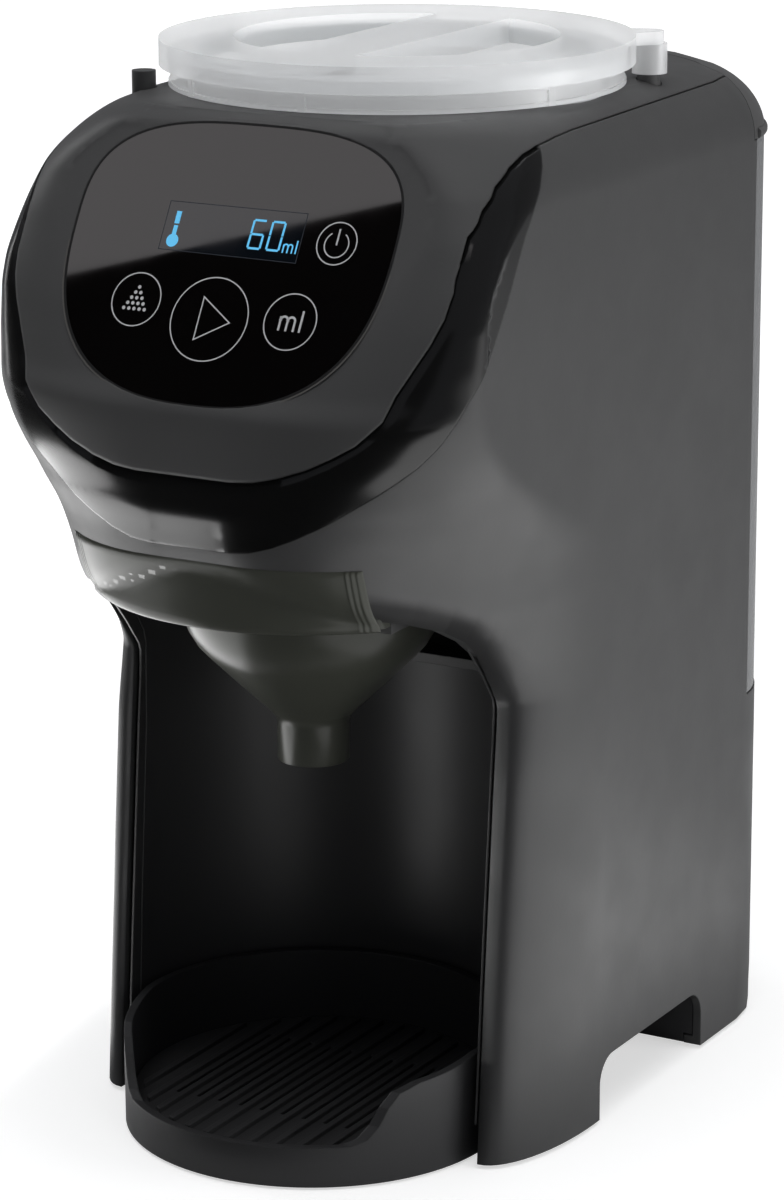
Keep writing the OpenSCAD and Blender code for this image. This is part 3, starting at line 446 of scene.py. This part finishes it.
def dress(node, body, name, shell=None, sit=None, warp=False, soft=False, span=3.0, angle=32):
    """The same shape as a CAD node, with its curved faces made smooth.

    shell is how far outside the shell's surface its outer faces lie, and sit how far they are moved to.
    """
    src = NODES[node].data
    me = bpy.data.meshes.new(name)
    me.from_pydata([v.co[:] for v in src.vertices], [], [p.vertices[:] for p in src.polygons])
    bm = bmesh.new()
    bm.from_mesh(me)
    bmesh.ops.remove_doubles(bm, verts=bm.verts, dist=2e-6)
    bmesh.ops.dissolve_degenerate(bm, edges=bm.edges, dist=2e-6)
    curved = set()
    if shell is not None:
        bm.normal_update()
        curved = refine(bm, shell, span, sit, warp, soft)
    bm.to_mesh(me)
    bm.free()
    me.shade_smooth()
    me.set_sharp_from_angle(angle=math.radians(angle))
    if shell is not None:
        loops = [n.vector.copy() for n in me.corner_normals]
        known = {}
        for poly in me.polygons:
            if poly.index in curved:
                for li in poly.loop_indices:
                    vi = me.loops[li].vertex_index
                    if vi not in known:
                        known[vi] = shell_normal(me.vertices[vi].co)
                    if known[vi] is not None and known[vi].dot(poly.normal) > 0.7:
                        loops[li] = softened(me.vertices[vi].co, known[vi]) if soft else known[vi]
        me.normals_split_custom_set([n[:] for n in loops])
    me.materials.append(MAT[slots[node]])
    o = bpy.data.objects.new(name, me)
    scene.collection.objects.link(o)
    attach(o, body)
    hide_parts(node)
    return o


dress("main_housing", "base_unit", "main_housing_skin", shell=0, soft=True)
dress("front_fascia", "base_unit", "front_fascia_skin", shell=0, warp=True)
dress("trim_ring", "base_unit", "trim_ring_skin", shell=0.7, sit=0.25)
dress("tank_lid", "tank_cap", "tank_lid_skin", shell=0)
glass = dress("control_glass", "base_unit", "control_glass_skin", angle=20)
for v in glass.data.vertices:
    v.co = glass_warp(v.co)


# ---------------------------------------------------------------- pieces made here
def add_piece(name, bm, body, slot, smooth=40, replaces=None):
    bmesh.ops.recalc_face_normals(bm, faces=bm.faces)
    me = bpy.data.meshes.new(name)
    bm.to_mesh(me)
    bm.free()
    me.shade_smooth()
    me.set_sharp_from_angle(angle=math.radians(smooth))
    me.materials.append(MAT[slot])
    o = bpy.data.objects.new(name, me)
    scene.collection.objects.link(o)
    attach(o, body)
    if replaces:
        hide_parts(replaces)
    return o


def run_through(rows):
    """A closed bar through rows of points in mm, each row one outline of it."""
    bm = bmesh.new()
    rings = [[bm.verts.new(Vector(p) * MM) for p in row] for row in rows]
    n = len(rings[0])
    for a, b in zip(rings, rings[1:]):
        for i in range(n):
            bm.faces.new((a[i], b[i], b[(i + 1) % n], a[(i + 1) % n]))
    bm.faces.new(rings[0])
    bm.faces.new(rings[-1][::-1])
    return bm


def revolve(profile, cx, cy, n=96):
    """A closed profile of radius and height turned about an upright axis."""
    bm = bmesh.new()
    turns = [2 * math.pi * i / n for i in range(n)]
    rings = []
    for r, z in profile:
        ring = [(cx + r * math.cos(t), cy + r * math.sin(t), z) for t in turns]
        rings.append([bm.verts.new((x * MM, y * MM, z * MM)) for x, y, z in ring])
    for a, b in zip(rings, rings[1:] + rings[:1]):
        for i in range(n):
            bm.faces.new((a[i], a[(i + 1) % n], b[(i + 1) % n], b[i]))
    return bm


# Outer skin of the drawer front, in mm: radius of its front, half width, lower and upper edge, thickness,
# how far it stands out of the shell, and where its three ribs start and end
BAND_R, BAND_HALF, BAND_LOW, BAND_HIGH, BAND_T = 61.75, 45.4, 161.4, 180.4, 0.2
BAND_PROUD, RIB_FROM, RIB_TO, RIBS, RIB_H = 0.28, 41.2, 44.9, 3, 0.16


def shell_front(x, z, off):
    """How far forward the shell reaches at x and z, measured towards -Y."""
    lo, hi = -125.0, -40.0
    for _ in range(26):
        mid = (lo + hi) / 2
        if depth(x, mid, z) > off:
            lo = mid
        else:
            hi = mid
    return -(lo + hi) / 2


def band_front(x, z):
    """The drawer front is upright in the middle and flows into the shell at its ends and its upper edge."""
    upright = -BAY_Y + math.sqrt(BAND_R ** 2 - x * x)
    shell = shell_front(x, z, BAND_PROUD)
    k = 2.0
    top = max(upright, shell)
    both = top + k * math.log(math.exp((upright - top) / k) + math.exp((shell - top) / k))
    both -= k * math.log(2) * math.exp(-abs(upright - shell) / k)
    if RIB_FROM < abs(x) < RIB_TO:
        along = (abs(x) - RIB_FROM) / (RIB_TO - RIB_FROM)
        both += RIB_H * (0.5 - 0.5 * math.cos(along * 2 * math.pi * RIBS))
    return both


def band_skin():
    half = [0, 4, 8, 12, 16, 20, 24, 28, 31, 34, 36.5, 39, RIB_FROM]
    half += [RIB_FROM + (RIB_TO - RIB_FROM) * k / 18 for k in range(1, 19)] + [45.1, BAND_HALF]
    xs = [-x for x in reversed(half[1:])] + half
    zs = [BAND_LOW, 161.7, 162.3, 163.2, 164.4, 166, 168, 170, 172, 174, 176, 178, 179.4, 180.1, BAND_HIGH]
    bm = bmesh.new()
    grids = []
    for inner in (0, 1):
        rows = []
        for z in zs:
            row = []
            for x in xs:
                e = min(BAND_HALF - abs(x), z - BAND_LOW, BAND_HIGH - z)
                round_off = 0.5 * (1 - min(1, e / 1.1)) ** 2 + 0.7 * (1 - min(1, (z - BAND_LOW) / 2.6)) ** 2
                y = band_front(x * (1 + 0.004 * (170 - z) / 10), z)
                if abs(x) > 33 or z > 178:
                    round_off = min(round_off, max(0, y - shell_front(x, z, 0.06)))
                y -= round_off
                row.append(bm.verts.new((x * MM, -(y - inner * BAND_T) * MM, z * MM)))
            rows.append(row)
        grids.append(rows)
    for k, rows in enumerate(grids):
        for a, b in zip(rows, rows[1:]):
            for i in range(len(xs) - 1):
                q = [a[i], a[i + 1], b[i + 1], b[i]]
                bm.faces.new(q if k == 0 else q[::-1])
    o, n = grids
    rim = [(0, i) for i in range(len(xs))] + [(j, len(xs) - 1) for j in range(1, len(zs))]
    rim += [(len(zs) - 1, i) for i in range(len(xs) - 2, -1, -1)]
    rim += [(j, 0) for j in range(len(zs) - 2, 0, -1)]
    for (j, i), (m, l) in zip(rim, rim[1:] + rim[:1]):
        bm.faces.new([o[m][l], o[j][i], n[j][i], n[m][l]])
    add_piece("drawer_front_skin", bm, "funnel_drawer", "smoked", 60)


band_skin()

# Radius and height up the outside of the funnel, over its flange and down the inside
FUNNEL = [
    (10.0, 108.5), (10.2, 108.7), (10.2, 119.6), (10.6, 121.2), (12.0, 122.9), (21.3, 131.9), (29.4, 139.9),
    (32.6, 143.3), (35.0, 147.4), (36.6, 151.8), (37.6, 157), (38, 161.5), (38, 164.2), (41.8, 164.2),
    (41.8, 165.9), (36.2, 165.9),
    (36.2, 161.5), (35.6, 156), (34.4, 151), (32.6, 147), (30.4, 143.8), (27.4, 140.8), (19.6, 133),
    (10.4, 124), (8.7, 122), (8.3, 120), (8.3, 108.5),
]
add_piece("mixing_funnel_skin", revolve(FUNNEL, 0, BAY_Y), "funnel_drawer", "smoked", 50, "mixing_funnel")

# Side walls of the bay carried forward to the edge of the shell
WALL_IN, WALL_OUT, WALL_MID, WALL_BACK, WALL_RUN = 57.55, 58.2, 58.5, 1.2, 15
for side, name in ((-1, "bay_wall_left"), (1, "bay_wall_right")):
    rows = []
    for z in range(12, 174, 2):
        xc, y0, yf = station(z)
        c = max(0, (WALL_MID - xc) / (HALF - xc))
        front = y0 - (y0 - yf) * math.sqrt(1 - c * c) + WALL_BACK
        rear = front + WALL_RUN
        corners = (WALL_OUT, front), (WALL_IN, front), (WALL_IN, rear), (WALL_OUT, rear)
        rows.append([(side * x, y, z) for x, y in corners])
    add_piece(name, run_through(rows), "base_unit", "bay_gloss", 30)

# Clear skirt under the lid's lug, round the locking post
LUG, POST_OUT = math.radians(33.8), 71.2
post = (POST_OUT * math.cos(LUG), POST_OUT * math.sin(LUG))
SKIRT = [(4.3, 303.9), (5.0, 303.9), (5.0, 295.4), (4.3, 295.4)]
add_piece("lid_lug_skirt", revolve(SKIRT, *post, n=48), "lid", "frosted")

# Small lip round the lower edge of the tank lid: its outline as distance out and height, and where it starts
LIP = [(-0.3, 272.4), (0.35, 272.4), (0.68, 273.0), (0.68, 274.2), (0.35, 274.9), (-0.3, 275.2)]
LIP_START = 79.5
edge = [(-74.9, 80.0)]
for a in range(0, 91, 5):
    t = math.radians(a)
    edge.append((CORNER - HALF - CORNER * math.cos(t), REAR - CORNER + CORNER * math.sin(t)))
edge = [(x, y) for x, y in edge if y > LIP_START]
edge += [(-x, y) for x, y in reversed(edge)]
rows = []
for k, (x, y) in enumerate(edge):
    a, b = edge[max(0, k - 1)], edge[min(len(edge) - 1, k + 1)]
    t = Vector((b[0] - a[0], b[1] - a[1], 0)).normalized()
    out = Vector((-t.y, t.x, 0))
    rows.append([Vector((x, y, z)) + out * d for d, z in LIP])
add_piece("tank_lid_lip", run_through(rows), "tank_cap", "lid_satin", 50)


# ---------------------------------------------------------------- panel graphics
def on_panel(x, s, h=0.04):
    return PANEL_O + Vector((x * MM, 0, 0)) + PANEL_UP * (s * MM) + PANEL_OUT * (h * MM)


def flat_piece(name, polys, mat, h=0.04, thick=0.03):
    """Thin flat shapes on the glass, print and painted shade and highlight: each polygon is a list of [x, s]
    points.
    """
    bm = bmesh.new()
    for pts in polys:
        top = [bm.verts.new(on_panel(x, s, h)) for x, s in pts]
        low = [bm.verts.new(on_panel(x, s, h - thick)) for x, s in pts]
        bm.faces.new(top)
        for i in range(len(pts)):
            j = (i + 1) % len(pts)
            bm.faces.new((top[j], top[i], low[i], low[j]))
    me = bpy.data.meshes.new(name)
    bmesh.ops.recalc_face_normals(bm, faces=bm.faces)
    bm.to_mesh(me)
    bm.free()
    me.materials.append(mat)
    o = bpy.data.objects.new(name, me)
    scene.collection.objects.link(o)
    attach(o, "base_unit")
    return o


def stroke(pts, w, closed=False):
    """Quads along a line of width w."""
    out, n = [], len(pts)
    last = n if closed else n - 1
    dirs = []
    for i in range(last):
        a, b = pts[i], pts[(i + 1) % n]
        d = math.hypot(b[0] - a[0], b[1] - a[1]) or 1
        dirs.append(((b[0] - a[0]) / d, (b[1] - a[1]) / d))
    sides = []
    for i in range(n):
        d1 = dirs[(i - 1) % last] if closed or i else dirs[0]
        d2 = dirs[i % last] if closed or i < last else dirs[-1]
        nx, ny = -(d1[1] + d2[1]), d1[0] + d2[0]
        k = w / 2 / max(0.35, (nx * nx + ny * ny) / 2 or 1)
        sides.append(((pts[i][0] + nx * k, pts[i][1] + ny * k), (pts[i][0] - nx * k, pts[i][1] - ny * k)))
    for i in range(last):
        a, b = sides[i], sides[(i + 1) % n]
        out.append([a[0], a[1], b[1], b[0]])
    return out


def arc(cx, cy, r, a0, a1, n):
    turns = [math.radians(a0 + (a1 - a0) * i / n) for i in range(n + 1)]
    return [(cx + r * math.cos(t), cy + r * math.sin(t)) for t in turns]


def circle(cx, cy, r, w, n=72):
    return stroke(arc(cx, cy, r, 0, 360, n)[:-1], w, True)


def letters_ml(x, y, h, w, r=0.2):
    """Generic unit letters, drawn as strokes from their lower left corner."""
    r *= h
    m = stroke([(x, y), (x, y + h * 0.66)], w)
    for k in (0, 1):
        x0 = x + 2 * r * k
        hump = arc(x0 + r, y + h * 0.66 - r, r, 180, 0, 12)
        m += stroke([(x0, y + h * 0.66 - r)] + hump + [(x0 + 2 * r, y)], w)
    m += stroke([(x + 5.7 * r, y), (x + 5.7 * r, y + h)], w)
    return m


LINE = 0.34
icons = circle(-0.3, 0.2, 11.7, LINE)
icons += stroke([(-3.5, 6.2), (-3.5, -5.8), (6.1, -0.2)], LINE, True)
icons += circle(-24.2, 3.5, 7.5, LINE)
for row in range(5):
    for k in range(row + 1):
        icons.append(arc(-24.15 + (k - row / 2) * 1.63, 7.0 - row * 1.54, 0.52, 0, 360, 12)[:-1])
icons += circle(24.2, 1.9, 7.8, LINE)
icons += letters_ml(21.2, -0.75, 6.0, 0.62, 0.185)
icons += circle(32.0, 24.5, 5.9, LINE)
icons += stroke(arc(32.0, 24.2, 3.6, 125, 415, 30), LINE)
icons += stroke([(32.0, 24.0), (32.0, 28.6)], 0.5)
flat_piece("touch_icons", icons, INK)


def glass_edge(g, a0, a1, step=3):
    out = []
    for a in range(a0, a1 + 1, step):
        c, q = math.cos(math.radians(a)), math.sin(math.radians(a))
        e, r = (2 / 3, GLASS_UP) if q > 0 else (2 / SQUARENESS, GLASS_DOWN)
        across = (GLASS_HALF_W + g) * math.copysign(abs(c) ** e, c)
        out.append((across, GLASS_MID + (r + g) * math.copysign(abs(q) ** e, q)))
    return out


# A black line round the whole glass: painted shade of the gap between the glass and the fascia.
flat_piece("glass_gap", stroke(glass_edge(0.1, 0, 357), 0.7, True), GAP_SHADE, 0.03, 0.02)
# A lighter grey strip just outside the lower half of the glass: painted highlight of a chamfer's edge.
flat_piece("painted_glass_rim_highlight", stroke(glass_edge(0.75, 184, 356), 0.5), RIM_HIGHLIGHT, 0.05, 0.03)
WINDOW = [(-21.6, 18.2), (21.2, 18.0), (21.2, 31.9), (-21.6, 31.9)]
flat_piece("display_window", [WINDOW], MAT["display"], 0.012, 0.01)
flat_piece("display_edge", stroke(WINDOW, 0.22, True), FRAME_INK, 0.02, 0.01)


def seven(x, y, w, h, on, t, slant=0.08):
    """Bars of a seven-segment figure: a top, b c right, d bottom, e f left, g middle."""
    g = 0.12
    bars = {
        "a": [(x + g, y + h), (x + w - g, y + h)],
        "d": [(x + g, y), (x + w - g, y)],
        "g": [(x + g, y + h / 2), (x + w - g, y + h / 2)],
        "f": [(x, y + h / 2 + g), (x, y + h - g)],
        "e": [(x, y + g), (x, y + h / 2 - g)],
        "b": [(x + w, y + h / 2 + g), (x + w, y + h - g)],
        "c": [(x + w, y + g), (x + w, y + h / 2 - g)],
    }
    out = []
    for k in on:
        out += stroke([(px + (py - y) * slant, py) for px, py in bars[k]], t)
    return out


lit = seven(5.5, 20.9, 3.8, 7.9, "afedcg", 0.62, 0.02) + seven(11.3, 20.9, 3.8, 7.9, "abcdef", 0.62, 0.02)
lit += letters_ml(16.4, 20.5, 3.7, 0.42, 0.185)
lit += [arc(-18.0, 20.9, 1.85, 0, 360, 24)[:-1]]
lit += stroke([(-18.0, 22.6), (-18.0, 25.2)], 1.25) + stroke([(-18.0, 25.7), (-18.0, 29.2)], 1.5)
flat_piece("display_figures", lit, LIT)

# ---------------------------------------------------------------- stage
floor_mesh = bpy.data.meshes.new("floor")
bm = bmesh.new()
span, wall_y, wall_h, bend = 4.0, 2.6, 3.0, 0.8
turns = [math.radians(a) for a in range(0, 91, 6)]
curve = [(wall_y - bend + bend * math.sin(t), bend - bend * math.cos(t)) for t in turns]
line = [(-span, 0.0)] + curve + [(wall_y, wall_h)]
rows = [[bm.verts.new((x, y, z - 0.00005)) for x in (-span, span)] for y, z in line]
for a, b in zip(rows, rows[1:]):
    bm.faces.new((a[0], a[1], b[1], b[0]))
bm.to_mesh(floor_mesh)
bm.free()
floor_mesh.shade_smooth()
floor = bpy.data.objects.new("floor", floor_mesh)
scene.collection.objects.link(floor)
n = Nodes("floor_paper")
path = n.add("ShaderNodeLightPath")
rays = {0: path.outputs["Is Camera Ray"], 1: path.outputs["Is Transmission Ray"]}
seen = n.add("ShaderNodeMath", rays, operation="MAXIMUM").outputs[0]
# Camera and transmission rays see the floor glow more the further it lies from the machine, 0.58 within 0.3
# m rising to 0.95 beyond 1.1 m: painted light that whitens the far floor where the lamps reach less, while
# the near floor keeps its real shadow.
place = n.add("ShaderNodeNewGeometry").outputs["Position"]
away = n.add("ShaderNodeVectorMath", {0: place}, operation="LENGTH").outputs["Value"]
far_painted_glow = n.spread(away, 0.58, 0.95, 0.3, 1.1)
paper = n.add("ShaderNodeBsdfPrincipled", {
    "Base Color": n.tint(n.noise(3, 2), (0.60, 0.60, 0.60), (0.64, 0.64, 0.64)),
    "Roughness": 0.8,
    "Emission Color": (1, 1, 1, 1),
    "Emission Strength": n.add("ShaderNodeMath", {0: seen, 1: far_painted_glow}, operation="MULTIPLY").outputs[0],
})
floor_mesh.materials.append(n.end(paper))

world = bpy.data.worlds.new("studio")
scene.world = world
world.use_nodes = True
wt = world.node_tree
wt.nodes.clear()
wo = wt.nodes.new("ShaderNodeOutputWorld")
lp = wt.nodes.new("ShaderNodeLightPath")
mx = wt.nodes.new("ShaderNodeMixShader")
soft = wt.nodes.new("ShaderNodeBackground")
white = wt.nodes.new("ShaderNodeBackground")
soft.inputs[0].default_value = (0.9, 0.92, 1, 1)
soft.inputs[1].default_value = 0.15
white.inputs[0].default_value = (1, 1, 1, 1)
white.inputs[1].default_value = 1.0
wt.links.new(lp.outputs["Is Camera Ray"], mx.inputs[0])
wt.links.new(soft.outputs[0], mx.inputs[1])
wt.links.new(white.outputs[0], mx.inputs[2])
wt.links.new(mx.outputs[0], wo.inputs[0])


def lamp(name, place, target, size, power, mirrored=True):
    d = bpy.data.lights.new(name, "AREA")
    d.shape = "RECTANGLE"
    d.size, d.size_y = size
    d.energy = power
    o = bpy.data.objects.new(name, d)
    o.location = place
    o.rotation_mode = "QUATERNION"
    o.rotation_quaternion = (Vector(target) - Vector(place)).to_track_quat("-Z", "Y")
    scene.collection.objects.link(o)
    o.visible_glossy = mirrored
    return o


lamp("top_soft", (0.1, -0.15, 1.7), (0, 0, 0.2), (1.6, 1.6), 24, False)
lamp("right_soft", (1.5, 0.35, 0.25), (0, 0, 0.03), (0.9, 1.0), 16.5, False)
lamp("left_rim", (-1.5, 0.1, 0.6), (0, 0, 0.15), (0.5, 1.5), 5)

# Cards that only mirror rays see: a pale one above the panel, whose edge crosses the glass, two pale ones on
# the floor that the ring and the drawer front pick up, and dark ones that keep the rest of the gloss black
CAMERA_AT = cam.matrix_world.translation
CARD_AWAY = 1.2


def mirrored_ray(x, s):
    """Where the camera's ray to a point of the panel goes once the glass has mirrored it."""
    p = on_panel(x, s, 0)
    d = (p - CAMERA_AT).normalized()
    r = d - 2 * d.dot(PANEL_OUT) * PANEL_OUT
    return p + r * CARD_AWAY


def panel_card(*points):
    return [mirrored_ray(x, s) for x, s in points]


def card(name, corners, shader):
    me = bpy.data.meshes.new(name)
    me.from_pydata([c[:] for c in corners], [], [tuple(range(len(corners)))])
    me.materials.append(shader)
    o = bpy.data.objects.new(name, me)
    scene.collection.objects.link(o)
    o.visible_camera = o.visible_diffuse = o.visible_transmission = False
    o.visible_volume_scatter = o.visible_shadow = False


def card_paper(name, colour, strength):
    n = Nodes(name)
    cloud = n.tint(n.noise(2, 1), tuple(c * 0.97 for c in colour), colour)
    return n.end(n.add("ShaderNodeEmission", {"Color": cloud, "Strength": strength}))


def on_floor(*points):
    return [Vector((x, y, CARD_UP)) for x, y in points]


# The limit between pale and dark across the panel, at its left and right end, in mm up the panel
SIDE, LIMIT_LEFT, LIMIT_RIGHT, CARD_TOP, CARD_LOW = 60, 4.5, 41.5, 120, -60
# Height of the floor cards, and reach of the dark cards to the sides, forwards and back, in m
CARD_UP, CARD_SIDE, CARD_FRONT, CARD_REAR = 0.003, 0.95, -1.4, 0.1
BLACK = card_paper("black_card", (0.004, 0.004, 0.004), 1.0)
PALE = card_paper("pale_card", (1, 0.96, 0.975), 1.72)
limit = (SIDE, LIMIT_RIGHT), (-SIDE, LIMIT_LEFT)
card("reflection_card", panel_card(limit[1], limit[0], (SIDE, CARD_TOP), (-SIDE, CARD_TOP)), PALE)
card("dark_card", panel_card((-SIDE, CARD_LOW), (SIDE, CARD_LOW), *limit), BLACK)

PALE_LEFT, PALE_RIGHT = card_paper("left_paper", (1, 1, 1), 4.2), card_paper("right_paper", (1, 1, 1), 1.9)
card("left_card", on_floor((-0.09, -0.11), (-0.155, -0.33), (-0.42, -0.43), (-0.52, -0.25),
                           (-0.45, CARD_REAR), (-0.12, CARD_REAR)), PALE_LEFT)
card("right_card", on_floor((0.12, -0.12), (0.135, -0.27), (0.34, -0.40), (CARD_SIDE, -0.5),
                            (CARD_SIDE, 0.3), (0.12, 0.2)), PALE_RIGHT)
card("front_dark", on_floor((-0.088, -0.112), (0.118, -0.122), (0.133, -0.272), (0.338, -0.402),
                            (CARD_SIDE, -0.502), (CARD_SIDE, CARD_FRONT), (-CARD_SIDE, CARD_FRONT),
                            (-CARD_SIDE, CARD_REAR), (-0.452, CARD_REAR), (-0.522, -0.25), (-0.422, -0.432),
                            (-0.153, -0.332)), BLACK)
WALL_SIDE, FRONT_H, LEFT_H = 1.0, 0.7, 0.6
front_wall = (-WALL_SIDE, CARD_UP), (WALL_SIDE, CARD_UP), (WALL_SIDE, FRONT_H), (-WALL_SIDE, FRONT_H)
card("front_dark_wall", [Vector((x, CARD_FRONT, z)) for x, z in front_wall], BLACK)
left_wall = (CARD_FRONT, CARD_UP), (CARD_REAR, CARD_UP), (CARD_REAR, LEFT_H), (CARD_FRONT, LEFT_H)
card("left_dark_wall", [Vector((-WALL_SIDE, y, z)) for y, z in left_wall], BLACK)
